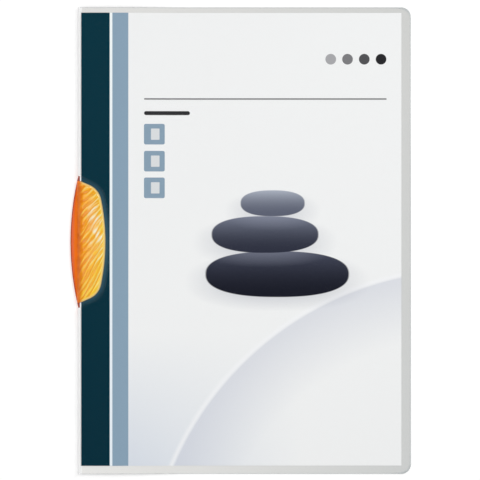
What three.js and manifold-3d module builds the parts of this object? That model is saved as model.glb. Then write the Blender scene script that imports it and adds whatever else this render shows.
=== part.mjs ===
// An A4 clip folder lying on its back: clear front cover, frosted back cover with the fold, a sheet
// between them and a one-piece clip that swings out sideways about a rivet under the back cover.
// Sizes are in millimetres. X runs across the front cover away from the fold, Y up the page and
// Z out of the front cover. Z = 0 is the surface that the folder lies on.
import * as THREE from "three";
import { mergeVertices } from "three/addons/utils/BufferGeometryUtils.js";
import Module from "manifold-3d";

const wasm = await Module();
wasm.setup();

// Covers
const folderWidth = 218.3;
const folderHeight = 306;
const cornerRadius = 6.3;
const filmThickness = 0.5;
const spineGap = 1.6; // clear height inside the fold
const hingeGap = 0.06; // between the fold's end and the front cover
const dropLength = 50; // over which the covers come down from the clip's plate to the table

// Printed sheet between the covers
const sheetWidth = 210;
const sheetHeight = 297;
const sheetThickness = 0.25;
const sheetInset = 2.2; // from the fold's outer face
const sheetRise = 0.9; // the sheet's middle above the folder's middle
const sheetPlay = 0.1; // under the sheet
const coverPlay = 0.2; // between the sheet and the front cover

// Clip: back plate
const clipMiddleY = -0.8;
const clipBulge = 4.9; // how far the clip stands out past the fold
const plateThickness = 2;
const plateLength = 130;
const plateReach = 22.7; // under the folder, from the fold to the plate's inner edge
const plateArcRadius = 185;
const plateEndRadius = 6.5;
const plateMargin = 3; // from the plate's inner edge to where the covers start to come down
const runPlay = 0.3; // between the clip and what it turns past

// Clip: ledge outside the fold and web through the slot
const rimHeight = 1.2;
const rimWidth = 0.9;
const ledgeTop = 3;
const webWidth = 1.6;
const webLength = 79;

// Clip: front lobe
const lobeLength = 80;
const lobeWidth = 16.8;
const lobeEndSlope = THREE.MathUtils.degToRad(23.2);
const lobeCornerRadius = 13;
const lobeBowRadius = 138;
const lobeEdgeThickness = 1.85; // at the straight side
const lobeFreeThickness = 1.05; // at the free side
const lobeCrown = 1.6; // how far the middle stands above the edges
const crownRadius = 5.5; // width of the rounding from the edges up to the crown
const lobeEndFall = 0.6; // how much lower the ends are than the middle
const pocketDepth = 1; // hollow in the lobe's underside
const pocketRim = 2.2; // rim left round it, which grips the sheets
const lobeSkirt = 0.4; // how far the crown's surface is laid past the lobe's sides before it is trimmed

// Clip: moulded ripples on the lobe
const ripplePitch = 5.4; // along the straight side
const rippleHeight = 0.28;
const rippleSlope = 1.24; // rise of a ripple's line for each millimetre across, at the middle
const rippleFan = 0.49; // how much steeper the line is at the lower end, and flatter at the upper
const rippleFade = 1.4; // width of the smooth edge
const rowsPerRipple = 6;

// Cut-out in the front cover and slot through the fold
const cutMargin = 2.7; // between the lobe and the cut-out's edge

// Rivet that the clip turns on
const pivotInset = 9.2; // from the fold
const pivotAbove = 9.8; // above the lobe's upper end
const rivetRadius = 2;
const rivetPlay = 0.1; // round the shaft
const rivetHeadRadius = 4;
const rivetTailRadius = 3.2;
const rivetTailDepth = 0.8;
const headPlay = 0.05; // between the rivet's heads and what they hold
const tailSink = 0.1; // of the rivet's tail above the surface that the folder lies on
const seatDepth = 0.6; // of the pressed seat for the rivet's head in the back cover
const seatPlay = 0.4; // round the head, and round the seat in the clip's plate

// Places that follow from the sizes
const foldX = (clipBulge - folderWidth) / 2;
const freeEdgeX = foldX + folderWidth;
const clipLeftX = foldX - clipBulge;
const plateRightX = foldX + plateReach;
const foldRadius = filmThickness + spineGap / 2;
const hingeX = foldX + foldRadius;
const lift = plateThickness + runPlay;
const foldMiddleZ = lift + foldRadius;
const backTopZ = lift + filmThickness;
const sheetTopZ = backTopZ + sheetPlay + sheetThickness;
const dropStartX = plateRightX + plateMargin;
const dropEndX = dropStartX + dropLength;
const lobeLeftX = hingeX;
const webInnerX = hingeX - runPlay;
const lobeUnderZ = sheetTopZ + runPlay;
const pivotX = foldX + pivotInset;
const pivotY = clipMiddleY + lobeLength / 2 + pivotAbove;

const roundSteps = 32;
const arcSteps = 16;
const dropSteps = 12;
const reach = 400; // longer than the folder, for cutting blocks
const deep = 20; // higher than the folder, for cutting blocks
const weldDistance = 1e-3; // corners closer than this are one

// A closed three.js geometry as a solid.
function solid(geometry) {
  geometry.deleteAttribute("normal");
  geometry.deleteAttribute("uv");
  const merged = mergeVertices(geometry, weldDistance);
  return new wasm.Manifold(
    new wasm.Mesh({
      numProp: 3,
      vertProperties: new Float32Array(merged.attributes.position.array),
      triVerts: new Uint32Array(merged.index.array),
    }),
  );
}

// A plan outline carried up from one height to another.
function prism(shape, fromZ, toZ, steps = arcSteps) {
  const geometry = new THREE.ExtrudeGeometry(shape, {
    depth: toZ - fromZ,
    bevelEnabled: false,
    curveSegments: steps,
  });
  geometry.translate(0, 0, fromZ);
  return solid(geometry);
}

// A section in X and Z carried along Y, centred on middleY.
function sectionAlongY(shape, length, middleY) {
  const geometry = new THREE.ExtrudeGeometry(shape, {
    depth: length,
    bevelEnabled: false,
    curveSegments: arcSteps,
  });
  geometry.rotateX(Math.PI / 2);
  geometry.translate(0, middleY + length / 2, 0);
  return solid(geometry);
}

function rectangle(fromX, toX, fromY, toY) {
  return new THREE.Shape([
    new THREE.Vector2(fromX, fromY),
    new THREE.Vector2(toX, fromY),
    new THREE.Vector2(toX, toY),
    new THREE.Vector2(fromX, toY),
  ]);
}

function box(fromX, toX, fromY, toY, fromZ, toZ) {
  return prism(rectangle(fromX, toX, fromY, toY), fromZ, toZ);
}

// An upright disc at the pivot.
function pivotDisc(radius, fromZ, toZ) {
  const geometry = new THREE.CylinderGeometry(radius, radius, toZ - fromZ, roundSteps);
  geometry.rotateX(Math.PI / 2);
  geometry.translate(pivotX, pivotY, (fromZ + toZ) / 2);
  return solid(geometry);
}

// A block whose top is a grid of points and whose bottom is flat.
function blockUnder(grid, floorZ) {
  const rows = grid.length;
  const columns = grid[0].length;
  const top = grid.flat();
  const points = [...top, ...top.map((p) => new THREE.Vector3(p.x, p.y, floorZ))];
  const below = rows * columns;
  const faces = [];
  const quad = (a, b, c, d) => faces.push(a, b, c, a, c, d);
  const at = (row, column) => row * columns + column;
  for (let r = 0; r < rows - 1; r++)
    for (let c = 0; c < columns - 1; c++) {
      const corners = [at(r, c), at(r, c + 1), at(r + 1, c + 1), at(r + 1, c)];
      quad(...corners);
      quad(...corners.reverse().map((i) => i + below));
    }
  const rim = [];
  for (let c = 0; c < columns - 1; c++) rim.push(at(0, c));
  for (let r = 0; r < rows - 1; r++) rim.push(at(r, columns - 1));
  for (let c = columns - 1; c > 0; c--) rim.push(at(rows - 1, c));
  for (let r = rows - 1; r > 0; r--) rim.push(at(r, 0));
  rim.forEach((here, i) => {
    const next = rim[(i + 1) % rim.length];
    quad(here, here + below, next + below, next);
  });
  return new wasm.Manifold(
    new wasm.Mesh({
      numProp: 3,
      vertProperties: new Float32Array(points.flatMap((p) => p.toArray())),
      triVerts: new Uint32Array(faces),
    }),
  );
}

// Half a cosine wave from 0 to 1 while x goes from start to end.
function ease(x, start, end) {
  const share = THREE.MathUtils.clamp((x - start) / (end - start), 0, 1);
  return (1 - Math.cos(Math.PI * share)) / 2;
}

function spaced(from, to, steps) {
  return Array.from({ length: steps + 1 }, (_, i) => from + ((to - from) * i) / steps);
}

// Height of the back cover's underside: up on the clip's plate beside the fold, then down to the table.
function backUnder(x) {
  return lift * (1 - ease(x, dropStartX, dropEndX));
}

function sheetUnder(x) {
  return backUnder(x) + filmThickness + sheetPlay;
}

// The front cover leaves the fold at the fold's height and settles on the sheet.
function frontUnder(x) {
  const settled = filmThickness + sheetPlay + sheetThickness + coverPlay;
  const atFold = filmThickness + spineGap;
  return backUnder(x) + atFold + (settled - atFold) * ease(x, hingeX, dropStartX);
}

const dropStations = spaced(dropStartX, dropEndX, dropSteps);
const settleStations = spaced(hingeX, dropStartX, dropSteps).slice(1, -1);

// The section of a layer from its underside, given at each station, and its thickness.
function layerSection(stations, under, thickness) {
  const below = stations.map((x) => new THREE.Vector2(x, under(x)));
  const above = stations.map((x) => new THREE.Vector2(x, under(x) + thickness));
  return new THREE.Shape([...below, ...above.reverse()]);
}

// The folder's outline, square at the fold and rounded at the free edge's corners.
function folderPlan() {
  const half = folderHeight / 2;
  const cornerX = freeEdgeX - cornerRadius;
  const cornerY = half - cornerRadius;
  const shape = new THREE.Shape();
  shape.moveTo(foldX, -half);
  shape.lineTo(cornerX, -half);
  shape.absarc(cornerX, -cornerY, cornerRadius, -Math.PI / 2, 0, false);
  shape.absarc(cornerX, cornerY, cornerRadius, 0, Math.PI / 2, false);
  shape.lineTo(foldX, half);
  return shape;
}

// The lobe's plan: straight beside the fold, sloping ends, rounded corners and a bowed free side.
// A margin moves all but the straight side outwards, and the straight side lies at leftX.
function lobePlan(margin, leftX) {
  const upperEnd = lobeLength / 2 + margin / Math.cos(lobeEndSlope);
  const half = upperEnd - (leftX - lobeLeftX) * Math.tan(lobeEndSlope);
  const corner = lobeCornerRadius + margin;
  const bow = lobeBowRadius + margin;
  const bowX = lobeLeftX + lobeWidth + margin - bow;
  const along = new THREE.Vector2(Math.cos(lobeEndSlope), -Math.sin(lobeEndSlope));
  const inwards = new THREE.Vector2(-Math.sin(lobeEndSlope), -Math.cos(lobeEndSlope));
  // The corner's centre runs along the end, a corner radius inside it, to where it touches the bow.
  const start = new THREE.Vector2(leftX - bowX, half).addScaledVector(inwards, corner);
  const ahead = start.dot(along);
  const run = Math.sqrt(ahead ** 2 - start.lengthSq() + (bow - corner) ** 2) - ahead;
  const centre = start.addScaledVector(along, run);
  const endAngle = Math.PI / 2 - lobeEndSlope;
  const bowAngle = centre.angle();
  const shape = new THREE.Shape();
  const cornerX = bowX + centre.x;
  shape.moveTo(leftX, clipMiddleY + half);
  shape.lineTo(leftX, clipMiddleY - half);
  shape.absarc(cornerX, clipMiddleY - centre.y, corner, -endAngle, -bowAngle, false);
  shape.absarc(bowX, clipMiddleY, bow, -bowAngle, bowAngle, false);
  shape.absarc(cornerX, clipMiddleY + centre.y, corner, bowAngle, endAngle, false);
  return shape;
}

// The back plate's plan: a leaf between two arcs, with round ends that touch both.
function platePlan() {
  const endY = plateLength / 2 - plateEndRadius;
  const outerX = clipLeftX + plateArcRadius;
  const endX = outerX - Math.sqrt((plateArcRadius - plateEndRadius) ** 2 - endY ** 2);
  const width = plateRightX - endX;
  const innerRadius = (width ** 2 + endY ** 2 - plateEndRadius ** 2) / (2 * (width - plateEndRadius));
  const innerX = plateRightX - innerRadius;
  const innerAngle = Math.asin(endY / (innerRadius - plateEndRadius));
  const outerAngle = Math.asin(endY / (plateArcRadius - plateEndRadius));
  const shape = new THREE.Shape();
  const lowY = clipMiddleY - endY;
  const highY = clipMiddleY + endY;
  shape.absarc(innerX, clipMiddleY, innerRadius, -innerAngle, innerAngle, false);
  shape.absarc(endX, highY, plateEndRadius, innerAngle, Math.PI - outerAngle, false);
  shape.absarc(outerX, clipMiddleY, plateArcRadius, Math.PI - outerAngle, Math.PI + outerAngle, false);
  shape.absarc(endX, lowY, plateEndRadius, Math.PI + outerAngle, 2 * Math.PI - innerAngle, false);
  return shape;
}

// The opening cut through the front cover and on round the fold, so that the clip can swing.
function cutOut() {
  return prism(lobePlan(cutMargin, clipLeftX), -deep, deep);
}

function backCover() {
  const flat = [...dropStations, freeEdgeX];
  const section = new THREE.Shape();
  section.moveTo(hingeX, foldMiddleZ + foldRadius);
  section.absarc(hingeX, foldMiddleZ, foldRadius, Math.PI / 2, (3 * Math.PI) / 2, false);
  flat.forEach((x) => section.lineTo(x, backUnder(x)));
  flat.reverse().forEach((x) => section.lineTo(x, backUnder(x) + filmThickness));
  section.absarc(hingeX, foldMiddleZ, spineGap / 2, (3 * Math.PI) / 2, Math.PI / 2, true);
  const slot = cutOut().intersect(box(-reach, hingeX, -reach, reach, -deep, deep));
  const seatOuter = rivetHeadRadius + seatPlay + filmThickness;
  return sectionAlongY(section, folderHeight, 0)
    .intersect(prism(folderPlan(), -deep, deep))
    .subtract(slot)
    .add(pivotDisc(seatOuter, lift - seatDepth, lift + filmThickness / 2))
    .subtract(pivotDisc(rivetHeadRadius + seatPlay, backTopZ - seatDepth, foldMiddleZ))
    .subtract(pivotDisc(rivetRadius + rivetPlay, 0, backTopZ));
}

function frontCover() {
  const stations = [hingeX + hingeGap, ...settleStations, ...dropStations, freeEdgeX];
  return sectionAlongY(layerSection(stations, frontUnder, filmThickness), folderHeight, 0)
    .intersect(prism(folderPlan(), -deep, deep))
    .subtract(cutOut());
}

function titleInsert() {
  const leftX = foldX + sheetInset;
  const stations = [leftX, ...dropStations, leftX + sheetWidth];
  return sectionAlongY(layerSection(stations, sheetUnder, sheetThickness), sheetHeight, sheetRise);
}

// The ledge outside the fold and the outer side of the web, under a surface that rises from the rim,
// slopes up across the ledge and then climbs the web to the lobe's straight side.
function ledgeAndWeb() {
  const footX = lobeLeftX - webWidth;
  const outerX = clipLeftX + plateArcRadius;
  const grid = spaced(-webLength / 2, webLength / 2, arcSteps).map((y) => {
    const rimX = outerX - Math.sqrt(plateArcRadius ** 2 - y ** 2);
    const ledge = Math.max(footX - rimX, 0);
    const width = Math.min(rimWidth, ledge / 2);
    return [
      new THREE.Vector3(rimX, clipMiddleY + y, rimHeight),
      new THREE.Vector3(rimX + width, clipMiddleY + y, plateThickness),
      new THREE.Vector3(rimX + ledge, clipMiddleY + y, ledgeTop),
      new THREE.Vector3(lobeLeftX, clipMiddleY + y, lobeUnderZ + lobeEdgeThickness - lobeEndFall),
      new THREE.Vector3(lobeLeftX + webWidth, clipMiddleY + y, lobeUnderZ + lobeFreeThickness),
    ];
  });
  return blockUnder(grid, plateThickness / 2);
}

// Distance from a point to the nearest side of an outline.
function distanceToOutline(point, outline) {
  const nearest = new THREE.Vector3();
  const distances = outline.map((from, i) => {
    const side = new THREE.Line3(from, outline[(i + 1) % outline.length]);
    return side.closestPointToPoint(point, true, nearest).distanceTo(point);
  });
  return Math.min(...distances);
}

// The lobe: a crown rounded up from its edges, with slanting ripples that fade out at the edges.
// Each grid row is a ripple's line: it starts at the straight side and rises across the lobe.
function rippledCrown() {
  const plan = lobePlan(0, lobeLeftX);
  const outline = plan.getPoints(arcSteps).map((p) => new THREE.Vector3(p.x, p.y, 0));
  const half = lobeLength / 2;
  const lowest = -half - (rippleSlope + 2 * rippleFan) * lobeWidth;
  const lines = Math.ceil((half - lowest) / ripplePitch);
  const across = spaced(-lobeSkirt, lobeWidth + lobeSkirt, arcSteps);
  const grid = spaced(0, lines * rowsPerRipple, lines * rowsPerRipple).map((row) => {
    const start = lowest + (row / rowsPerRipple) * ripplePitch;
    const slope = rippleSlope - (rippleFan * start) / half;
    const wave = Math.cos((2 * Math.PI * row) / rowsPerRipple);
    return across.map((u) => {
      const y = start + slope * u;
      const point = new THREE.Vector3(lobeLeftX + u, clipMiddleY + y, 0);
      const inside = distanceToOutline(point, outline);
      const rise = 1 - Math.min(inside / crownRadius, 1);
      const edge = THREE.MathUtils.lerp(lobeEdgeThickness, lobeFreeThickness, u / lobeWidth);
      const crown = lobeCrown * Math.sqrt(1 - rise ** 2);
      const ripple = rippleHeight * wave * Math.min(inside / rippleFade, 1);
      const fall = lobeEndFall * Math.min(Math.abs(y) / half, 1) ** 2;
      point.z = lobeUnderZ + edge + crown + ripple - fall;
      return point;
    });
  });
  return blockUnder(grid, 0).intersect(prism(plan, lobeUnderZ, deep));
}

function swingClip() {
  const pocket = prism(
    lobePlan(-pocketRim, lobeLeftX + pocketRim),
    lobeUnderZ - runPlay,
    lobeUnderZ + pocketDepth,
  );
  const mouth = box(webInnerX, freeEdgeX, -reach, reach, plateThickness, lobeUnderZ);
  const seatRadius = rivetHeadRadius + seatPlay + filmThickness + seatPlay;
  return ledgeAndWeb()
    .subtract(mouth)
    .add(rippledCrown())
    .subtract(pocket)
    .add(prism(platePlan(), 0, plateThickness, roundSteps))
    .subtract(pivotDisc(seatRadius, plateThickness - seatDepth, plateThickness + runPlay))
    .subtract(pivotDisc(rivetRadius + rivetPlay, -deep, plateThickness))
    .subtract(pivotDisc(rivetTailRadius + seatPlay, -deep, rivetTailDepth));
}

// Closed at both ends once it is in place: a tail sunk in the clip's plate and a flat head in the seat.
function pivotRivet() {
  const tailTop = rivetTailDepth - headPlay;
  const headUnder = backTopZ - seatDepth + headPlay;
  const profile = [
    new THREE.Vector2(0, tailSink),
    new THREE.Vector2(rivetTailRadius, tailSink),
    new THREE.Vector2(rivetTailRadius, tailTop),
    new THREE.Vector2(rivetRadius, tailTop),
    new THREE.Vector2(rivetRadius, headUnder),
    new THREE.Vector2(rivetHeadRadius, headUnder),
    new THREE.Vector2(rivetHeadRadius, backTopZ - headPlay),
    new THREE.Vector2(0, backTopZ - headPlay),
  ];
  const geometry = new THREE.LatheGeometry(profile, roundSteps);
  geometry.rotateX(Math.PI / 2);
  geometry.translate(pivotX, pivotY, 0);
  return solid(geometry);
}

// A named mesh with its own material, from a solid.
function piece(name, made, color, roughness, opacity = 1) {
  const mesh = made.getMesh();
  const geometry = new THREE.BufferGeometry()
    .setAttribute("position", new THREE.BufferAttribute(mesh.vertProperties, 3))
    .setIndex(new THREE.BufferAttribute(mesh.triVerts, 1))
    .toNonIndexed();
  geometry.computeVertexNormals();
  const material = new THREE.MeshStandardMaterial({
    color,
    roughness,
    metalness: 0,
    opacity,
    transparent: opacity < 1,
  });
  const named = new THREE.Mesh(geometry, material);
  named.name = name;
  return named;
}

const clipFolder = new THREE.Group();
clipFolder.add(
  piece("back_cover", backCover(), "#d6d9d8", 0.45),
  piece("front_cover", frontCover(), "#eef2f2", 0.2, 0.25),
  piece("title_insert", titleInsert(), "#f0f2f1", 0.6),
  piece("swing_clip", swingClip(), "#f59a20", 0.25),
  piece("pivot_rivet", pivotRivet(), "#e8e8e4", 0.4),
);

export default clipFolder;
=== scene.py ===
"""A closed A4 clip folder seen from above: clear front film, frosted back film, a printed sheet
between them and a translucent orange clip that swings out from the fold.
Lengths below are in millimetres, the stage's in metres. X runs from the fold to the free edge, Y up
the page, Z upwards."""

import math

import bpy
import numpy as np
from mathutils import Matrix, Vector


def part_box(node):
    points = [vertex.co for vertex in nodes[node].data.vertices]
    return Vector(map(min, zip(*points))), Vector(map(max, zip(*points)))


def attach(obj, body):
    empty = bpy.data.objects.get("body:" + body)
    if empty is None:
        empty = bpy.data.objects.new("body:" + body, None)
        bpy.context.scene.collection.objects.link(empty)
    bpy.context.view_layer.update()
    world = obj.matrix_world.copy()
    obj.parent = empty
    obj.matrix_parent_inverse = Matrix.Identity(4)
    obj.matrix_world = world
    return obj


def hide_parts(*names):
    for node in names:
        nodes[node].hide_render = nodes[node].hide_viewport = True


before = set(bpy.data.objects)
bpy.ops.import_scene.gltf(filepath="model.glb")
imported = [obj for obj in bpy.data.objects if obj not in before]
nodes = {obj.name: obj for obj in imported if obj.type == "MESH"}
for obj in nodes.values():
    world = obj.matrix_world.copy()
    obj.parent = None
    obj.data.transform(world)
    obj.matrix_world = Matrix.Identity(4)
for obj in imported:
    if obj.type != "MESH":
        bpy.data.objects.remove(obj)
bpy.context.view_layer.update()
MM = 0.001


def node_box(name):
    """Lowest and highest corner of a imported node, in millimetres."""
    low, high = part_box(name)
    return np.array(low) / MM, np.array(high) / MM


back_low, back_high = node_box("back_cover")
front_low, front_high = node_box("front_cover")
sheet_low, sheet_high = node_box("title_insert")
clip_low, clip_high = node_box("swing_clip")

# Covers and sheet
FILM = 0.5
SPINE_GAP = 1.6
FOLD_X = back_low[0]
FREE_X = back_high[0]
HALF_HEIGHT = back_high[1]
CORNER = 6.3
FOLD_RADIUS = FILM + SPINE_GAP / 2
HINGE_X = FOLD_X + FOLD_RADIUS
FRONT_X = front_low[0]
LIFT = 2.3
DROP_START = -81.0
DROP_END = -31.0
SHEET_PLAY = 0.1
SHEET = 0.25
COVER_PLAY = 0.2

# The clip's plate
MIDDLE_Y = (clip_low[1] + clip_high[1]) / 2
PLATE = 2.0
PLATE_HALF = (clip_high[1] - clip_low[1]) / 2
PLATE_REACH = 22.7
PLATE_ARC = 185.0
PLATE_END = 6.5
PLATE_EDGE = 0.45
CAP_INSET = 0.4

# The clip's lobe: its plan, its heights and the pocket below
LOBE_HALF = 40.0
LOBE_WIDTH = 16.8
LOBE_SLOPE = math.radians(23.2)
LOBE_CORNER = 13.0
LOBE_BOW = 138.0
LOBE_UNDER = 3.45
LOBE_SIDE = 1.85
LOBE_FREE = 1.05
CROWN = 1.6
CROWN_WIDTH = 5.5
END_FALL = 0.6
LIP = 0.8
POCKET = 1.0
POCKET_RIM = 2.2
POCKET_EASE = 0.8
CUT_MARGIN = 2.7

# The clip's ledge outside the fold, and the web that climbs from it to the lobe
RIM_LOW = 0.85
CURL = 0.9
CURL_SHARE = 0.45
LEDGE_STEP = 0.1
LEDGE_TOP = 3.0
LEDGE_POWER = 1.5
WEB = 1.6
CLIMB = 4.6
CLIMB_POWER = 1.15
UNDER_STEP = 0.2

# Ripples, and how far from the free side and the foot they fade in
RIPPLE_PITCH = 5.4
RIPPLE_HEIGHT = 0.28
RIPPLE_SLOPE = 1.24
RIPPLE_FAN = 0.49
FADE_START = 0.7
FADE_RUN = 1.3
FOOT_FADE = 2.2

# Small distances: the end rows short of the lobe's points, the least width of a row, the least
# height of the lip and thickness of the skin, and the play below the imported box's top
END_INSET = 0.15
LEAST_WIDTH = 0.05
LEAST_RISE = 0.15
LEAST_SKIN = 0.02
TOP_PLAY = 0.01

# Values that the ledge carries in place of the lobe's own
LEDGE_ACROSS = -0.1
LEDGE_FREE_SIDE = 9.0

# Where the sheet's mesh is finer, and the soft rim and reach of the painted glow on the print's
# bare part by the clip
FINE_X = -78.0
FINE_Y = (-52.0, 50.0)
BARE_RIM = 0.5
BARE_REACH = 3.2

# Steps of the meshes
ARC_POINTS = 40
CORNER_POINTS = 15
CUT_ROWS = 150
PLAIN_ROWS = 40
LOBE_ROWS = 421
CURL_POINTS = 9
SHELF_POINTS = 11
ACROSS_POINTS = 97
SIDE_STEPS = 60
END_STEPS = 20
EDGE_POINTS = 5

# Angles, in degrees, over which two faces meet in a sharp edge
FILM_CREASE = 35
LOBE_CREASE = 50
PLATE_CREASE = 40


# ---- shapes ----


def ease(x, start, end):
    """Half a cosine wave from 0 to 1 between start and end."""
    share = np.clip((x - start) / (end - start), 0, 1)
    return (1 - np.cos(np.pi * share)) / 2


def rounded(share):
    """How far a quarter circle has dropped at a share of its radius in from the edge: 1 at the
    edge, 0 a radius in from it and beyond."""
    return 1 - np.sqrt(1 - (1 - np.clip(share, 0, 1)) ** 2)


def stations(*runs):
    """Rising stations from runs of (from, to, steps). A station that two runs share comes once."""
    parts = [np.linspace(a, b, n + 1) for a, b, n in runs]
    return np.unique(np.round(np.concatenate(parts), 6))


def back_under(x):
    """Underside of the back film: on the clip's plate by the fold, then down to the table."""
    return LIFT * (1 - ease(x, DROP_START, DROP_END))


def front_under(x):
    """Underside of the front film: level with the fold's top, then down onto the sheet."""
    settled = FILM + SHEET_PLAY + SHEET + COVER_PLAY
    at_fold = FILM + SPINE_GAP
    return back_under(x) + at_fold + (settled - at_fold) * ease(x, HINGE_X, DROP_START)


def lobe_side(margin=0.0):
    """Free side of the lobe's plan, moved out by a margin: distances from the middle, falling from
    the end to zero, and the x at each. A straight sloping end, an arc for the corner and a bow."""
    end = LOBE_HALF + margin / math.cos(LOBE_SLOPE)
    corner = LOBE_CORNER + margin
    bow = LOBE_BOW + margin
    bow_x = HINGE_X + LOBE_WIDTH + margin - bow
    along = np.array([math.cos(LOBE_SLOPE), -math.sin(LOBE_SLOPE)])
    inwards = np.array([-math.sin(LOBE_SLOPE), -math.cos(LOBE_SLOPE)])
    start = np.array([HINGE_X - bow_x, end]) + inwards * corner
    ahead = start @ along
    run = math.sqrt(ahead**2 - start @ start + (bow - corner) ** 2) - ahead
    centre = start + along * run
    end_angle = math.pi / 2 - LOBE_SLOPE
    bow_angle = math.atan2(centre[1], centre[0])
    turn = np.linspace(end_angle, bow_angle, ARC_POINTS)
    sweep = np.linspace(bow_angle, 0, ARC_POINTS)[1:]
    corner_x = bow_x + centre[0] + corner * np.cos(turn)
    corner_y = centre[1] + corner * np.sin(turn)
    x = np.concatenate([[HINGE_X], corner_x, bow_x + bow * np.cos(sweep)])
    y = np.concatenate([[end], corner_y, bow * np.sin(sweep)])
    return y, x


def side_x(y, margin=0.0):
    """x of the lobe's free side at a height on the page, or the fold's line past its ends."""
    reach, x = lobe_side(margin)
    return np.interp(np.abs(y - MIDDLE_Y), reach[::-1], x[::-1], right=HINGE_X)


def edge_distance(x, y, margin=0.0, straight=True):
    """Distance from each point to the lobe's outline: the nearest point on each straight piece of
    its two mirrored halves and, where asked for, on its straight side by the fold."""
    reach, side = lobe_side(margin)
    ends_x = np.concatenate([side, side[::-1][1:]])
    ends_y = np.concatenate([reach, -reach[::-1][1:]])
    ends = np.stack([ends_x, ends_y], 1)
    points = np.stack([x.ravel(), y.ravel() - MIDDLE_Y], 1)
    nearest = np.full(len(points), np.inf)
    for start, step in zip(ends[:-1], np.diff(ends, axis=0)):
        share = np.clip((points - start) @ step / (step @ step), 0, 1)
        off = points - start - share[:, None] * step
        nearest = np.minimum(nearest, np.hypot(off[:, 0], off[:, 1]))
    if straight:
        nearest = np.minimum(nearest, np.abs(points[:, 0] - HINGE_X))
    return nearest.reshape(x.shape)


def xyz(x, y, z):
    """Three arrays, spread over one grid, as points."""
    return np.stack(np.broadcast_arrays(x, y, z), -1).astype(float)


def make_piece(name, points, faces, crease):
    """An object from points in millimetres, shaded smooth but for edges sharper than the crease."""
    mesh = bpy.data.meshes.new(name)
    mesh.from_pydata(points.reshape(-1, 3) * MM, [], faces)
    mesh.validate()
    mesh.shade_smooth()
    mesh.set_sharp_from_angle(angle=math.radians(crease))
    piece = bpy.data.objects.new(name, mesh)
    bpy.context.scene.collection.objects.link(piece)
    return piece


def slab(name, lower, upper, values, crease=FILM_CREASE):
    """A closed piece between two grids of points with the same rim: the upper grid's faces, the
    lower grid's turned over, and a wall of one quad for each step of the rim. Values are kept as
    attributes of the points."""
    rows, columns, _ = lower.shape
    index = np.arange(rows * columns).reshape(rows, columns)
    below = rows * columns
    corners = [index[:-1, :-1], index[:-1, 1:], index[1:, 1:], index[1:, :-1]]
    quads = np.stack(corners, -1).reshape(-1, 4)
    rim = np.concatenate([index[0, :-1], index[:-1, -1], index[-1, :0:-1], index[:0:-1, 0]])
    after = np.roll(rim, -1)
    wall = np.stack([rim, after, after + below, rim + below], -1)
    faces = np.concatenate([quads[:, ::-1], quads + below, wall])
    points = np.concatenate([lower.reshape(-1, 3), upper.reshape(-1, 3)])
    piece = make_piece(name, points, faces, crease)
    for label, value in values.items():
        held = piece.data.attributes.new(label, "FLOAT", "POINT")
        held.data.foreach_set("value", np.tile(value.ravel(), 2).astype(np.float32))
    return piece


def front_film():
    """The clear cover: each row runs from the fold, or the cut-out's edge, to the free edge. Two
    attributes hold the distance to the cut edges: the outer ones and the cut-out's."""
    corner_turn = np.linspace(0, math.pi / 2, CORNER_POINTS)
    corner_rows = HALF_HEIGHT - CORNER + CORNER * np.sin(corner_turn)
    cut_end = lobe_side(CUT_MARGIN)[0][0]
    cut_rows = np.linspace(MIDDLE_Y - cut_end, MIDDLE_Y + cut_end, CUT_ROWS)
    plain_rows = np.linspace(-HALF_HEIGHT + CORNER, HALF_HEIGHT - CORNER, PLAIN_ROWS)
    rows = np.concatenate([corner_rows, -corner_rows, cut_rows, plain_rows])
    y = np.unique(np.round(rows, 4))[:, None]
    left = np.maximum(side_x(y, CUT_MARGIN), FRONT_X)
    past = np.clip(np.abs(y) - (HALF_HEIGHT - CORNER), 0, CORNER)
    right = FREE_X - CORNER + np.sqrt(CORNER**2 - past**2)
    spread = stations((FRONT_X, DROP_END, 60), (DROP_END, FREE_X, 12))
    share = (spread - FRONT_X) / (FREE_X - FRONT_X)
    x = left + (right - left) * share[None, :]
    under = front_under(x)
    y = np.broadcast_to(y, x.shape)
    values = {
        "outer_edge": np.minimum(right - x, HALF_HEIGHT - np.abs(y)),
        "cut_edge": edge_distance(x, y, CUT_MARGIN, straight=False),
    }
    return slab("front_film", xyz(x, y, under), xyz(x, y, under + FILM), values)


def printed_sheet():
    """The sheet: a thin slab that follows the back film. Two attributes place the painted light on
    the print beside the clip: one marks the part that the cut-out leaves bare, the other how near
    the clip's lobe is."""
    x = stations((sheet_low[0], FINE_X, 66), (FINE_X, DROP_END, 40), (DROP_END, sheet_high[0], 12))
    y = stations((sheet_low[1], FINE_Y[0], 24), (*FINE_Y, 255), (FINE_Y[1], sheet_high[1], 24))
    x, y = np.meshgrid(x, y)
    under = back_under(x) + FILM + SHEET_PLAY
    inside = x < side_x(y, CUT_MARGIN)
    away = edge_distance(x, y, CUT_MARGIN, straight=False) * np.where(inside, 1, -1)
    near = 1 - edge_distance(x, y, 0, straight=False) / BARE_REACH
    values = {
        "bare": np.clip(0.5 + away / BARE_RIM, 0, 1),
        "near_clip": np.clip(near, 0, 1),
    }
    return slab("printed_sheet", xyz(x, y, under), xyz(x, y, under + SHEET), values)


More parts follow.
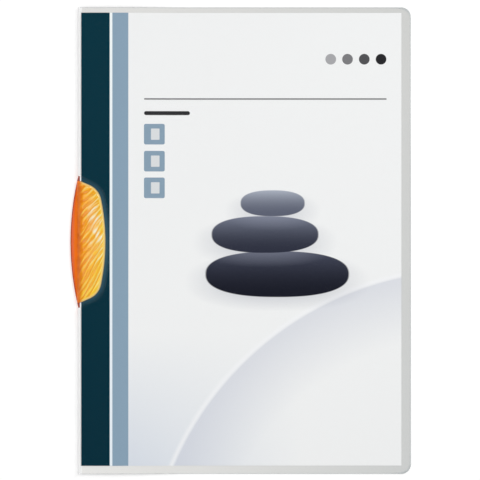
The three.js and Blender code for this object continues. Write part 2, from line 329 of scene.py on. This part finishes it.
def ripples(u, y):
    """Moulded ripples as a height around 0. Each ridge starts at the straight side and rises
    across the lobe, steeper at the lower end. Slow waves bend the ridges and let them swell, part
    and merge."""
    start = (y - RIPPLE_SLOPE * u) / (1 - RIPPLE_FAN * u / LOBE_HALF)

    def wave(across, along, shift):
        """A slow wave, in radians for each millimetre across the lobe and along its side."""
        return np.sin(across * u + along * start + shift)

    def ridges(turns):
        """Ridges from 0 to 1, narrower than the grooves between them."""
        return (0.5 + 0.5 * np.cos(turns)) ** 2

    bend = 1.05 * wave(0.33, 0.19, 0.6) + 0.5 * wave(0.8, -0.41, 2.1)
    phase = 2 * np.pi * start / RIPPLE_PITCH + bend
    second = ridges(1.87 * phase + 1.2 * wave(0.4, 0.17, 0.0) + 1.3)
    third = ridges(3.1 * phase - 1.6 * wave(0.5, -0.23, 0.0) + 0.4)
    swell = 0.7 + 0.3 * wave(0.5, 0.37, 0.4)
    part = 0.5 + 0.5 * wave(-0.36, 0.29, 1.0)
    height = swell * ridges(phase) + 0.42 * part * second + 0.2 * (1 - part) * third
    return 1.75 * height - 0.8


def swing_lobe():
    """Ledge, web and lobe as one moulding. Each row runs from the rim outside the fold over the
    ledge to the foot of the web. From there one rounded surface climbs to the crown, and falls on a
    quarter circle to the free side, whose edge is rounded over. Ripples fade out at the edges."""
    turn = np.sin(np.linspace(-1, 1, LOBE_ROWS) * np.pi / 2)
    y = (MIDDLE_Y + (LOBE_HALF - END_INSET) * turn)[:, None]
    away = y - MIDDLE_Y

    # The ledge: a curled rim, then a shelf that rises to the foot of the web.
    foot = HINGE_X - WEB
    outer = clip_low[0] + PLATE_ARC - np.sqrt(PLATE_ARC**2 - away**2)
    rim = np.minimum(outer, foot - LEAST_WIDTH)
    ledge = foot - rim
    shelf_low = PLATE + LEDGE_STEP
    curl = np.linspace(0, np.pi / 2, CURL_POINTS)[None, :]
    curl_width = np.minimum(CURL, ledge * CURL_SHARE)
    curl_x = rim + curl_width * (1 - np.cos(curl))
    curl_z = RIM_LOW + (shelf_low - RIM_LOW) * np.sin(curl)
    shelf = np.linspace(0, 1, SHELF_POINTS)[None, 1:]
    shelf_x = rim + curl_width + (ledge - curl_width) * shelf
    shelf_z = shelf_low + (LEDGE_TOP - shelf_low) * shelf**LEDGE_POWER

    # Web and lobe: u is the distance from the fold's line, free the one to the free side.
    width = np.maximum(side_x(y) - HINGE_X, LEAST_WIDTH)
    share = np.linspace(0, 1, ACROSS_POINTS)[None, 1:]
    u = (width + WEB) * share - WEB
    lobe_x = HINGE_X + u
    lobe_y = np.broadcast_to(y, lobe_x.shape)
    free = edge_distance(lobe_x, lobe_y, straight=False)
    flat = LOBE_SIDE + (LOBE_FREE - LOBE_SIDE) * np.clip(u / LOBE_WIDTH, 0, 1)
    end_fall = END_FALL * np.clip(np.abs(away) / LOBE_HALF, 0, 1) ** 2
    crest = LOBE_UNDER + flat + CROWN - end_fall
    climb = 1 - np.sin(np.pi / 2 * np.clip((u + WEB) / CLIMB, 0, 1))
    fall = CROWN * rounded(free / CROWN_WIDTH) * np.clip(1 - climb, 0, 1)
    lobe_z = crest - (crest - LEDGE_TOP) * climb**CLIMB_POWER - fall
    lobe_z = np.maximum(lobe_z - LIP * rounded(free / LIP), LOBE_UNDER + LEAST_RISE)
    fade = np.clip((free - FADE_START) / FADE_RUN, 0, 1) * np.clip((u + WEB) / FOOT_FADE, 0, 1)
    wave = ripples(u, away)
    lobe_z = np.minimum(lobe_z + RIPPLE_HEIGHT * wave * fade, clip_high[2] - TOP_PLAY)
    parts = ((curl_x, curl_z), (shelf_x, shelf_z), (lobe_x, lobe_z))
    x = np.concatenate([np.broadcast_to(px, (len(y), px.shape[1])) for px, pz in parts], 1)
    z = np.concatenate([np.broadcast_to(pz, (len(y), pz.shape[1])) for px, pz in parts], 1)

    # The underside, with a pocket below the lobe.
    inside = edge_distance(lobe_x, lobe_y)
    hollow = POCKET * np.clip((inside - POCKET_RIM) / POCKET_EASE, 0, 1) ** 0.5
    base = np.where(u < 0, PLATE - UNDER_STEP, LOBE_UNDER + hollow)
    plain = np.zeros((len(y), x.shape[1] - lobe_x.shape[1]))
    under = np.concatenate([plain + RIM_LOW - UNDER_STEP, base], 1)
    under = np.minimum(under, z - LEAST_SKIN)

    values = {
        "relief": np.concatenate([plain, wave * fade], 1),
        "across": np.concatenate([plain + LEDGE_ACROSS, u / LOBE_WIDTH], 1),
        "along": np.broadcast_to(away / LOBE_HALF, x.shape),
        "free_side": np.concatenate([plain + LEDGE_FREE_SIDE, free], 1),
        "lobe_side": np.ones(x.shape),
    }
    return slab("swing_lobe", xyz(x, y, under), xyz(x, y, z), values, LOBE_CREASE)


def swing_plate():
    """The leaf-shaped plate under the back film: a plan between two arcs, its rim rounded over on
    quarter circles at top and bottom, with a flat face of many corners closing each side."""
    end_y = PLATE_HALF - PLATE_END
    outer_x = clip_low[0] + PLATE_ARC
    end_x = outer_x - math.sqrt((PLATE_ARC - PLATE_END) ** 2 - end_y**2)
    right = FOLD_X + PLATE_REACH
    width = right - end_x
    inner_arc = (width**2 + end_y**2 - PLATE_END**2) / (2 * (width - PLATE_END))
    inner_x = right - inner_arc
    inner_angle = math.asin(end_y / (inner_arc - PLATE_END))
    outer_angle = math.asin(end_y / (PLATE_ARC - PLATE_END))
    outer_from, outer_to = math.pi - outer_angle, math.pi + outer_angle

    def arc(cx, cy, radius, start, end, steps):
        """Points on an arc, its last one left to the next arc."""
        turn = np.linspace(start, end, steps + 1)[:-1]
        return np.stack([cx + radius * np.cos(turn), cy + radius * np.sin(turn)], 1)

    plan = np.concatenate(
        [
            arc(inner_x, 0, inner_arc, -inner_angle, inner_angle, SIDE_STEPS),
            arc(end_x, end_y, PLATE_END, inner_angle, outer_from, END_STEPS),
            arc(outer_x, 0, PLATE_ARC, outer_from, outer_to, SIDE_STEPS),
            arc(end_x, -end_y, PLATE_END, outer_to, 2 * math.pi - inner_angle, END_STEPS),
        ]
    )
    ahead = np.roll(plan, -1, 0) - np.roll(plan, 1, 0)
    outward = np.stack([ahead[:, 1], -ahead[:, 0]], 1) / np.hypot(*ahead.T)[:, None]
    turn = np.linspace(0, math.pi / 2, EDGE_POINTS)
    edge_in = PLATE_EDGE * (1 - np.cos(turn))
    edge_z = PLATE_EDGE * np.sin(turn)
    inset = [PLATE_EDGE + CAP_INSET]
    draw = np.concatenate([inset, edge_in[::-1], edge_in, inset])
    height = np.concatenate([[0], PLATE_EDGE - edge_z[::-1], PLATE - PLATE_EDGE + edge_z, [PLATE]])
    ring = plan[None] - outward[None] * draw[:, None, None]
    points = xyz(ring[..., 0], ring[..., 1] + MIDDLE_Y, height[:, None])
    count, around, _ = points.shape
    index = np.arange(count * around).reshape(count, around)
    after = np.roll(index, -1, 1)
    wall = np.stack([index[:-1], after[:-1], after[1:], index[1:]], -1).reshape(-1, 4)
    faces = wall.tolist() + [index[0, ::-1].tolist(), index[-1].tolist()]
    return make_piece("swing_plate", points, faces, PLATE_CREASE)


# ---- finishes ----


def linear(red, green, blue, alpha=1.0):
    """A colour written as 0 to 255 on the screen, as linear light."""
    values = np.array([red, green, blue]) / 255
    light = np.where(values <= 0.04045, values / 12.92, ((values + 0.055) / 1.055) ** 2.4)
    return (*[float(v) for v in light], alpha)


class Nodes:
    """Adds nodes to a tree and links whatever is given as a socket; plain numbers are set."""

    def __init__(self, tree):
        self.tree = tree

    def add(self, kind, **settings):
        node = self.tree.nodes.new(kind)
        for name, value in settings.items():
            setattr(node, name, value)
        return node

    def put(self, socket, value):
        if isinstance(value, bpy.types.NodeSocket):
            self.tree.links.new(value, socket)
        elif value is not None:
            socket.default_value = value

    def math(self, operation, a, b=None, c=None, clamp=False):
        node = self.add("ShaderNodeMath", operation=operation, use_clamp=clamp)
        for socket, value in zip(node.inputs, (a, b, c)):
            self.put(socket, value)
        return node.outputs[0]

    def scaled(self, value, share, base=0.0):
        """A value times a share, with a base added."""
        return self.math("MULTIPLY_ADD", value, share, base)

    def reach(self, a, b, power=2.0):
        """Square root of the sum of two powers: with power 2, the length over a and b."""
        squares = [self.math("POWER", side, power) for side in (a, b)]
        return self.math("SQRT", self.math("ADD", *squares))

    def inside(self, distance, softness):
        """Mask that falls from 1 to 0 over the softness, half way where the distance is 0."""
        share = self.math("DIVIDE", distance, softness)
        return self.math("SUBTRACT", 0.5, share, clamp=True)

    def blend(self, share, a, b):
        node = self.add("ShaderNodeMix", data_type="RGBA")
        self.put(node.inputs[0], share)
        self.put(node.inputs[6], a)
        self.put(node.inputs[7], b)
        return node.outputs[2]

    def ramp(self, share, stops):
        node = self.add("ShaderNodeValToRGB")
        marks = node.color_ramp.elements
        while len(marks) < len(stops):
            marks.new(0.5)
        for mark, (place, colour) in zip(marks, stops):
            mark.position = place
            mark.color = colour
        self.put(node.inputs[0], share)
        return node.outputs[0]

    def rise(self, value, low, high):
        """0 below low, 1 above high, and a straight rise between; low may be the larger one."""
        node = self.add("ShaderNodeMapRange")
        self.put(node.inputs["Value"], value)
        node.inputs["From Min"].default_value = low
        node.inputs["From Max"].default_value = high
        return node.outputs[0]

    def attribute(self, name):
        return self.add("ShaderNodeAttribute", attribute_name=name).outputs["Fac"]

    def group(self, tree, **values):
        node = self.add("ShaderNodeGroup", node_tree=tree)
        for name, value in values.items():
            self.put(node.inputs[name.replace("_", " ")], value)
        return node

    def noise(self, vector, scale, detail):
        node = self.add("ShaderNodeTexNoise")
        self.put(node.inputs["Vector"], vector)
        self.put(node.inputs["Scale"], scale)
        node.inputs["Detail"].default_value = detail
        return node.outputs["Fac"]


def new_group(name, inputs, outputs):
    """An empty node group with inputs given as (name, default) and outputs given by name. An input
    without a default is a vector, and everything else is a number."""
    tree = bpy.data.node_groups.new(name, "ShaderNodeTree")
    for label, value in inputs:
        kind = "NodeSocketVector" if value is None else "NodeSocketFloat"
        socket = tree.interface.new_socket(label, in_out="INPUT", socket_type=kind)
        if value is not None:
            socket.default_value = value
    for label in outputs:
        tree.interface.new_socket(label, in_out="OUTPUT", socket_type="NodeSocketFloat")
    n = Nodes(tree)
    return tree, n, n.add("NodeGroupInput").outputs, n.add("NodeGroupOutput").inputs


# What both groups of printed shapes take in
SHAPE = [("X", 0.0), ("Y", 0.0), ("Centre X", 0.0), ("Centre Y", 0.0)]
SHAPE += [("Half Width", 1.0), ("Half Height", 1.0)]


def panel_group():
    """Mask of a rectangle with rounded corners: distance past its inner box, less the corner's
    radius."""
    inputs = [*SHAPE, ("Corner", 0.0), ("Softness", 0.12)]
    tree, n, given, out = new_group("printed panel", inputs, ["Mask"])
    past = []
    for place, centre, half in (("X", "Centre X", "Half Width"), ("Y", "Centre Y", "Half Height")):
        away = n.math("ABSOLUTE", n.math("SUBTRACT", given[place], given[centre]))
        past.append(n.math("ADD", n.math("SUBTRACT", away, given[half]), given["Corner"]))
    far = n.reach(*[n.math("MAXIMUM", value, 0.0) for value in past])
    within = n.math("MINIMUM", n.math("MAXIMUM", past[0], past[1]), 0.0)
    distance = n.math("SUBTRACT", n.math("ADD", far, within), given["Corner"])
    n.put(out["Mask"], n.inside(distance, given["Softness"]))
    return tree


def oval_group():
    """Mask of a slightly squared oval with a soft edge, and Height: 0 at its lower side to 1 at its
    upper side."""
    inputs = [*SHAPE, ("Softness", 0.3)]
    tree, n, given, out = new_group("printed oval", inputs, ["Mask", "Height"])
    x = n.math("DIVIDE", n.math("SUBTRACT", given["X"], given["Centre X"]), given["Half Width"])
    y = n.math("DIVIDE", n.math("SUBTRACT", given["Y"], given["Centre Y"]), given["Half Height"])
    far = n.reach(n.math("ABSOLUTE", x), n.math("ABSOLUTE", y), 2.4)
    distance = n.math("MULTIPLY", n.math("SUBTRACT", far, 1.0), given["Half Height"])
    n.put(out["Mask"], n.inside(distance, given["Softness"]))
    n.put(out["Height"], n.scaled(y, 0.5, 0.5))
    return tree


def grain_group():
    """Fine grain for a height and a slow unevenness for tone, from the Vector given."""
    inputs = [("Vector", None), ("Fine", 900.0), ("Slow", 12.0)]
    tree, n, given, out = new_group("film grain", inputs, ["Grain", "Unevenness"])
    n.put(out["Grain"], n.noise(given["Vector"], given["Fine"], 4.0))
    n.put(out["Unevenness"], n.noise(given["Vector"], given["Slow"], 2.0))
    return tree


PANEL = panel_group()
OVAL = oval_group()
GRAIN = grain_group()


def finish(name):
    """A new material: its nodes, its shader, and Object coordinates as a vector in metres."""
    material = bpy.data.materials.new(name)
    material.use_nodes = True
    n = Nodes(material.node_tree)
    shader = material.node_tree.nodes["Principled BSDF"]
    return material, n, shader, n.add("ShaderNodeTexCoord").outputs["Object"]


def millimetres(n, place):
    """Object coordinates as X, Y and Z in millimetres."""
    scaled = n.add("ShaderNodeVectorMath", operation="SCALE")
    n.put(scaled.inputs[0], place)
    scaled.inputs["Scale"].default_value = 1 / MM
    split = n.add("ShaderNodeSeparateXYZ")
    n.put(split.inputs[0], scaled.outputs[0])
    return split.outputs


def bump(n, shader, height, strength, distance):
    """Feeds a height through a Bump node to the shader's normal. The distance is in metres."""
    node = n.add("ShaderNodeBump")
    node.inputs["Strength"].default_value = strength
    node.inputs["Distance"].default_value = distance
    n.put(node.inputs["Height"], height)
    n.put(shader.inputs["Normal"], node.outputs[0])


def frosted_film():
    """Pale grey frosted film: a fine grain, a tone that shifts slowly over the page, and painted
    light over the fold, which is made white as if light shone through the film there."""
    material, n, shader, place = finish("frosted film")
    at = millimetres(n, place)
    grain = n.group(GRAIN, Vector=place, Fine=1500.0, Slow=9.0)
    across = n.rise(at["X"], -109.0, 109.0)
    low_page = n.blend(across, linear(240, 239, 236), linear(208, 210, 209))
    high_page = n.blend(across, linear(229, 228, 226), linear(206, 207, 205))
    tone = n.blend(n.rise(at["Y"], -150.0, 150.0), low_page, high_page)
    uneven = n.scaled(grain.outputs["Unevenness"], 0.2)
    tone = n.blend(uneven, tone, linear(212, 212, 210))
    # Painted light: white over the fold, in place of light through the translucent film.
    fold_painted_light = n.rise(at["X"], -103.9, -104.7)
    tone = n.blend(fold_painted_light, tone, linear(255, 255, 255))
    n.put(shader.inputs["Base Color"], tone)
    n.put(shader.inputs["Roughness"], n.scaled(grain.outputs["Grain"], 0.2, 0.36))
    shader.inputs["Sheen Weight"].default_value = 0.3
    shader.inputs["Sheen Roughness"].default_value = 0.4
    bump(n, shader, grain.outputs["Grain"], 0.25, 0.0001)
    return material


def clear_film():
    """Clear glossy film: see-through from the front, whiter and more mirror-like at a low angle,
    with a greyer line of painted shade along its cut edges."""
    material, n, shader, place = finish("clear film")
    grain = n.group(GRAIN, Vector=place, Fine=300.0, Slow=7.0)
    # Painted shade: a greyer, less see-through line along the outer and cut edges.
    outer_edge_shade = n.scaled(n.rise(n.attribute("outer_edge"), 0.5, 0.0), 0.24)
    cut_edge_shade = n.scaled(n.rise(n.attribute("cut_edge"), 0.6, 0.1), 0.03)
    rim = n.math("ADD", outer_edge_shade, cut_edge_shade)
    tone = n.blend(n.rise(rim, 0.0, 0.2), linear(190, 200, 205), linear(170, 180, 184))
    n.put(shader.inputs["Base Color"], tone)
    n.put(shader.inputs["Roughness"], n.scaled(grain.outputs["Unevenness"], 0.1, 0.1))
    shader.inputs["IOR"].default_value = 1.49
    glance = n.add("ShaderNodeLayerWeight")
    glance.inputs["Blend"].default_value = 0.3
    facing = n.math("SUBTRACT", 1.0, n.add("ShaderNodeNewGeometry").outputs["Backfacing"])
    glare = n.math("MULTIPLY", n.rise(glance.outputs["Fresnel"], 0.04, 0.9), facing)
    n.put(shader.inputs["Alpha"], n.math("ADD", n.scaled(glare, 0.6, 0.0015), rim, clamp=True))
    bump(n, shader, grain.outputs["Unevenness"], 0.05, 0.0004)
    return material


# Print, as centre x and y, width, height and corner radius. Stripes run past the sheet's ends.
DARK_STRIPE = (-95.4, 0.0, 19.1, 320.0)
WHITE_LINE = (-94.3, 0.0, 20.4, 320.0)
BLUE_STRIPE = (-89.1, 0.0, 30.9, 320.0)
RULE = (16.2, 92.9, 158.9, 0.9)
BAR = (-48.3, 83.6, 30.0, 2.6, 1.3)

# A row of dots: first x, step, y, size and grey levels
DOT_X, DOT_STEP, DOT_Y, DOT_SIZE = 92.1, 11.0, 119.0, 7.0
DOT_GREYS = (40, 84, 128, 172)

# Three small squares with a blank page in each: x and sizes as above, and their heights on the page
SQUARE_X, SQUARE_SIZE = -56.6, (13.6, 13.5, 1.2)
BLANK_X, BLANK_SIZE = -56.0, (5.6, 7.4, 0.4)
SQUARE_Y = (69.8, 52.1, 34.6)

# Shaded ovals: centre x and y, half width, half height, dark and light tone
OVALS = (
    (24.0, -22.0, 47.0, 15.0, (26, 28, 40), (74, 78, 96)),
    (16.0, 4.0, 35.0, 12.0, (48, 51, 66), (122, 128, 146)),
    (21.0, 24.5, 21.0, 8.5, (96, 101, 118), (176, 183, 197)),
)
SHADOW_DROP = 5.0

# The wide arc's centre
ARC_X, ARC_Y = 150.0, -230.0


def printed_paper():
    """Smooth paper with two upright stripes beside the fold, a thin rule, three small squares with
    a blank page in each, a row of dots, a short bar and shaded ovals over soft grey light."""
    material, n, shader, place = finish("printed paper")
    at = millimetres(n, place)
    x, y = at["X"], at["Y"]

    def panel(cx, cy, width, height, corner=0.0):
        """Mask of a rectangle in the print."""
        sizes = {"X": x, "Y": y, "Centre_X": cx, "Centre_Y": cy, "Half_Width": width / 2}
        sizes.update({"Half_Height": height / 2, "Corner": corner, "Softness": 0.15})
        return n.group(PANEL, **sizes).outputs["Mask"]

    # Soft light over the page: near white at the top, a cooler grey at the lower left.
    cool = n.math("MULTIPLY", n.rise(y, -60.0, -155.0), n.rise(x, 40.0, -75.0))
    tone = n.blend(cool, linear(247, 248, 248), linear(218, 225, 235))

    # A wide soft arc across the lower page, darker along its upper side.
    far = n.reach(n.math("SUBTRACT", x, ARC_X), n.math("SUBTRACT", y, ARC_Y))
    arc_out = n.math("MULTIPLY", n.rise(far, 212.0, 210.0), n.rise(far, 168.0, 210.0))
    tone = n.blend(n.scaled(arc_out, 0.55), tone, linear(206, 210, 222))
    arc_in = n.math("MULTIPLY", n.rise(far, 214.5, 212.2), n.rise(far, 210.0, 212.0))
    tone = n.blend(n.scaled(arc_in, 0.8), tone, linear(250, 251, 253))

    # Three shaded ovals, one on the other, each with a soft shadow under it.
    for cx, cy, half_width, half_height, dark, light in OVALS:
        oval = {"X": x, "Y": y, "Centre_X": cx, "Half_Width": half_width}
        oval["Half_Height"] = half_height
        shade = n.group(OVAL, **oval, Centre_Y=cy, Softness=0.4)
        cast = n.group(OVAL, **oval, Centre_Y=cy - SHADOW_DROP, Softness=11.0)
        tone = n.blend(n.scaled(cast.outputs["Mask"], 0.35), tone, linear(150, 155, 172))
        upper = n.math("POWER", shade.outputs["Height"], 2.2)
        tone = n.blend(shade.outputs["Mask"], tone, n.blend(upper, linear(*dark), linear(*light)))

    # Thin rule, short bar, a row of dots and three squares.
    tone = n.blend(panel(*RULE), tone, linear(116, 117, 118))
    tone = n.blend(panel(*BAR), tone, linear(52, 52, 54))
    for step, grey in enumerate(DOT_GREYS):
        dot = panel(DOT_X - DOT_STEP * step, DOT_Y, DOT_SIZE, DOT_SIZE, DOT_SIZE / 2)
        tone = n.blend(dot, tone, linear(grey, grey, grey + 3))
    for cy in SQUARE_Y:
        tone = n.blend(panel(SQUARE_X, cy, *SQUARE_SIZE), tone, linear(142, 165, 184))
        tone = n.blend(panel(BLANK_X, cy, *BLANK_SIZE), tone, linear(224, 227, 229))

    # Stripes beside the fold. On the dark one, painted light: a paler glow where the cut-out leaves
    # it bare beside the clip, strongest near the lobe and towards the clip's middle.
    tone = n.blend(panel(*BLUE_STRIPE), tone, linear(142, 167, 187))
    white = n.blend(n.rise(y, -60.0, 140.0), linear(238, 247, 253), linear(247, 255, 255))
    tone = n.blend(panel(*WHITE_LINE), tone, white)
    teal = n.blend(n.rise(y, -150.0, 150.0), linear(6, 47, 61), linear(8, 53, 67))
    near = n.math("POWER", n.attribute("near_clip"), 0.8)
    bare = n.math("MULTIPLY", n.attribute("bare"), near)
    middle = n.scaled(n.rise(n.math("ABSOLUTE", y), 52.0, 12.0), 0.55, 0.4)
    teal = n.blend(n.math("MULTIPLY", bare, middle), teal, linear(66, 100, 116))
    tone = n.blend(panel(*DARK_STRIPE), tone, teal)
    n.put(shader.inputs["Base Color"], tone)

    grain = n.group(GRAIN, Vector=place, Fine=2200.0, Slow=20.0)
    n.put(shader.inputs["Roughness"], n.scaled(grain.outputs["Grain"], 0.1, 0.5))
    shader.inputs["Specular IOR Level"].default_value = 0.01
    bump(n, shader, grain.outputs["Grain"], 0.1, 0.00005)
    return material


# Colours of the clip from its lowest point to the ledge's top, as shares of LOW_Z's span: a
# painted pinkish highlight on the rounded low rim, painted red-brown shade just above it, then
# the ledge's orange
LOW_Z = (1.0, 5.2)
LOW_STOPS = (
    (0.0, (196, 104, 70)),
    (0.2, (206, 84, 36)),
    (0.27, (226, 92, 12)),
    (0.34, (250, 118, 10)),
    (0.5, (250, 120, 8)),
    (0.66, (246, 126, 4)),
    (1.0, (250, 140, 4)),
)

# Colours of the lobe from the fold's line to its free side, as shares of its width
ACROSS_STOPS = (
    (0.0, (244, 132, 2)),
    (0.15, (253, 166, 4)),
    (0.5, (255, 192, 20)),
    (0.9, (255, 216, 64)),
)


def clip_plastic():
    """Translucent orange moulding: a painted pinkish highlight and red-brown shade at its low rim,
    bright orange on the ledge, painted mottled shade in the crevice, yellow over the lobe with
    painted highlights on the ridges and painted shade in the grooves, a painted highlight along the
    free side, and painted shade on the plate's top face."""
    material, n, shader, place = finish("clip plastic")
    height = millimetres(n, place)["Z"]
    relief = n.attribute("relief")
    across = n.attribute("across")
    along = n.attribute("along")
    side = n.attribute("free_side")
    grain = n.group(GRAIN, Vector=place, Fine=500.0, Slow=170.0)

    # Rim, ledge and web, coloured by height, with painted highlight and shade at the low rim and
    # mottled painted shade in the crevice.
    low = n.ramp(n.rise(height, *LOW_Z), [(share, linear(*tone)) for share, tone in LOW_STOPS])
    # Painted shade: darker orange in patches down in the crevice.
    mottled_shade = n.rise(grain.outputs["Unevenness"], 0.35, 0.65)
    crevice = n.rise(height, 2.2, 3.2)
    low = n.blend(n.math("MULTIPLY", mottled_shade, crevice), low, linear(226, 108, 4))

    # The lobe, yellower at its lower end, with painted shade in the grooves and painted highlights
    # on the ridges.
    body = n.ramp(across, [(share, linear(*tone)) for share, tone in ACROSS_STOPS])
    lower_end = n.scaled(n.rise(along, -0.35, -0.85), 0.7)
    body = n.blend(lower_end, body, linear(255, 220, 50))
    groove_shade = n.blend(across, linear(234, 126, 0), linear(246, 176, 10))
    crest = n.blend(across, linear(255, 194, 56), linear(255, 244, 170))
    body = n.blend(n.scaled(n.rise(relief, -0.1, -0.7), 0.85), body, groove_shade)
    body = n.blend(n.rise(relief, 0.05, 0.9), body, crest)

    # Light caught in the ridges over the middle of the free half, in patches.
    lit = n.math("MULTIPLY", n.rise(across, 0.25, 0.5), n.rise(side, 1.2, 3.0))
    off_middle = n.math("ABSOLUTE", n.math("SUBTRACT", along, 0.22))
    lit = n.math("MULTIPLY", lit, n.rise(off_middle, 0.6, 0.2))
    lit = n.math("MULTIPLY", lit, n.rise(relief, -0.7, 0.6))
    patches = n.rise(n.noise(place, 130.0, 1.0), 0.43, 0.63)
    body = n.blend(n.math("MULTIPLY", lit, patches), body, linear(255, 246, 222))
    # Painted highlight along the free side.
    body = n.blend(n.rise(side, 1.7, 0.5), body, linear(255, 218, 140))

    # Lobe over ledge, and the plate, which carries no lobe_side value: orange below, with painted
    # shade in dark red on its top face.
    tone = n.blend(n.rise(across, -0.02, 0.12), low, body)
    plate = n.blend(n.rise(height, 1.2, 1.9), linear(240, 110, 14), linear(158, 58, 34))
    tone = n.blend(n.attribute("lobe_side"), plate, tone)
    n.put(shader.inputs["Base Color"], tone)
    shader.inputs["IOR"].default_value = 1.5
    shader.inputs["Specular IOR Level"].default_value = 0.2
    n.put(shader.inputs["Coat Weight"], n.scaled(n.rise(across, 0.0, 0.2), 0.3, 0.05))
    shader.inputs["Coat Roughness"].default_value = 0.08
    n.put(shader.inputs["Roughness"], n.scaled(grain.outputs["Grain"], 0.08, 0.16))
    bump(n, shader, grain.outputs["Unevenness"], 0.1, 0.0003)
    return material


def rivet_plastic():
    """White moulded plastic with a slight satin grain."""
    material, n, shader, place = finish("rivet plastic")
    grain = n.group(GRAIN, Vector=place, Fine=1200.0, Slow=150.0)
    tone = n.blend(grain.outputs["Unevenness"], linear(228, 228, 224), linear(240, 240, 237))
    n.put(shader.inputs["Base Color"], tone)
    n.put(shader.inputs["Roughness"], n.scaled(grain.outputs["Grain"], 0.15, 0.3))
    bump(n, shader, grain.outputs["Grain"], 0.1, 0.0001)
    return material


def floor_white():
    """Matt white floor that keeps shadows, with a little plain light added where the camera looks,
    and more of it far from the object, where the lamps fall off."""
    material, n, shader, place = finish("floor white")
    shader.inputs["Base Color"].default_value = (0.93, 0.93, 0.93, 1)
    shader.inputs["Roughness"].default_value = 0.9
    shader.inputs["Specular IOR Level"].default_value = 0.0
    shader.inputs["Emission Color"].default_value = (1, 1, 1, 1)
    path = n.add("ShaderNodeLightPath").outputs
    seen = n.math("ADD", path["Is Camera Ray"], path["Is Glossy Ray"], clamp=True)
    seen = n.math("ADD", seen, path["Is Transmission Ray"], clamp=True)
    length = n.add("ShaderNodeVectorMath", operation="LENGTH")
    n.put(length.inputs[0], place)
    added = n.scaled(n.rise(length.outputs["Value"], 0.3, 1.3), 0.34, 0.2)
    n.put(shader.inputs["Emission Strength"], n.math("MULTIPLY", seen, added))
    return material


# ---- stage, in metres ----

FLOOR_HALF = 4
DOME_LIGHT = 0.44
DOME_SEEN = 1.0
CAMERA_AT = (-0.43 * MM, 0.40 * MM, 2.625)

# Lamps: name, place, size and power in watts
LAMPS = (
    ("wide light", (-0.3, -0.1, 1.5), 1.0, 7.8),
    ("key light", (0.45, 0.4, 0.9), 0.2, 2.0),
    ("glint light", (0.15, 0.15, 1.2), 0.1, 0.9),
)


def make_stage():
    """Pale floor, a soft dome of light that looks white, a wide light above, a smaller one to the
    upper right and a small one for glints."""
    corners = [(-1, -1), (1, -1), (1, 1), (-1, 1)]
    mesh = bpy.data.meshes.new("floor")
    points = [(FLOOR_HALF * x, FLOOR_HALF * y, 0) for x, y in corners]
    mesh.from_pydata(points, [], [(0, 1, 2, 3)])
    mesh.materials.append(floor_white())
    floor = bpy.data.objects.new("floor", mesh)
    bpy.context.scene.collection.objects.link(floor)
    world = bpy.data.worlds.new("studio")
    world.use_nodes = True
    bpy.context.scene.world = world
    n = Nodes(world.node_tree)
    dome = world.node_tree.nodes["Background"]
    dome.inputs["Color"].default_value = (1, 1, 1, 1)
    seen = n.add("ShaderNodeLightPath").outputs["Is Camera Ray"]
    n.put(dome.inputs["Strength"], n.scaled(seen, DOME_SEEN - DOME_LIGHT, DOME_LIGHT))
    for name, place, size, power in LAMPS:
        light = bpy.data.lights.new(name, "AREA")
        light.size = size
        light.energy = power
        lamp = bpy.data.objects.new(name, light)
        lamp.location = place
        lamp.rotation_euler = (-Vector(place)).to_track_quat("-Z", "Y").to_euler()
        bpy.context.scene.collection.objects.link(lamp)


def make_camera():
    """Straight down from above the middle of the page, with a long lens."""
    lens = bpy.data.cameras.new("camera")
    lens.lens = 300
    lens.sensor_width = 36
    lens.clip_end = 10
    camera = bpy.data.objects.new("camera", lens)
    camera.location = CAMERA_AT
    bpy.context.scene.collection.objects.link(camera)
    bpy.context.scene.camera = camera


make_camera()
make_stage()

film = frosted_film()
clear = clear_film()
paper = printed_paper()
orange = clip_plastic()
white = rivet_plastic()

for name, material in (("back_cover", film), ("pivot_rivet", white)):
    nodes[name].data.materials.clear()
    nodes[name].data.materials.append(material)

for piece, material, body, node, slot in (
    (front_film(), clear, "cover", "front_cover", "clear_film"),
    (printed_sheet(), paper, "folder", "title_insert", "printed_paper"),
    (swing_lobe(), orange, "clip", "swing_clip", "clip_plastic"),
    (swing_plate(), orange, "clip", "swing_clip", "clip_plastic"),
):
    piece.data.materials.append(material)
    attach(piece, body)
    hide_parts(node)

scene = bpy.context.scene
scene.view_settings.view_transform = "Standard"
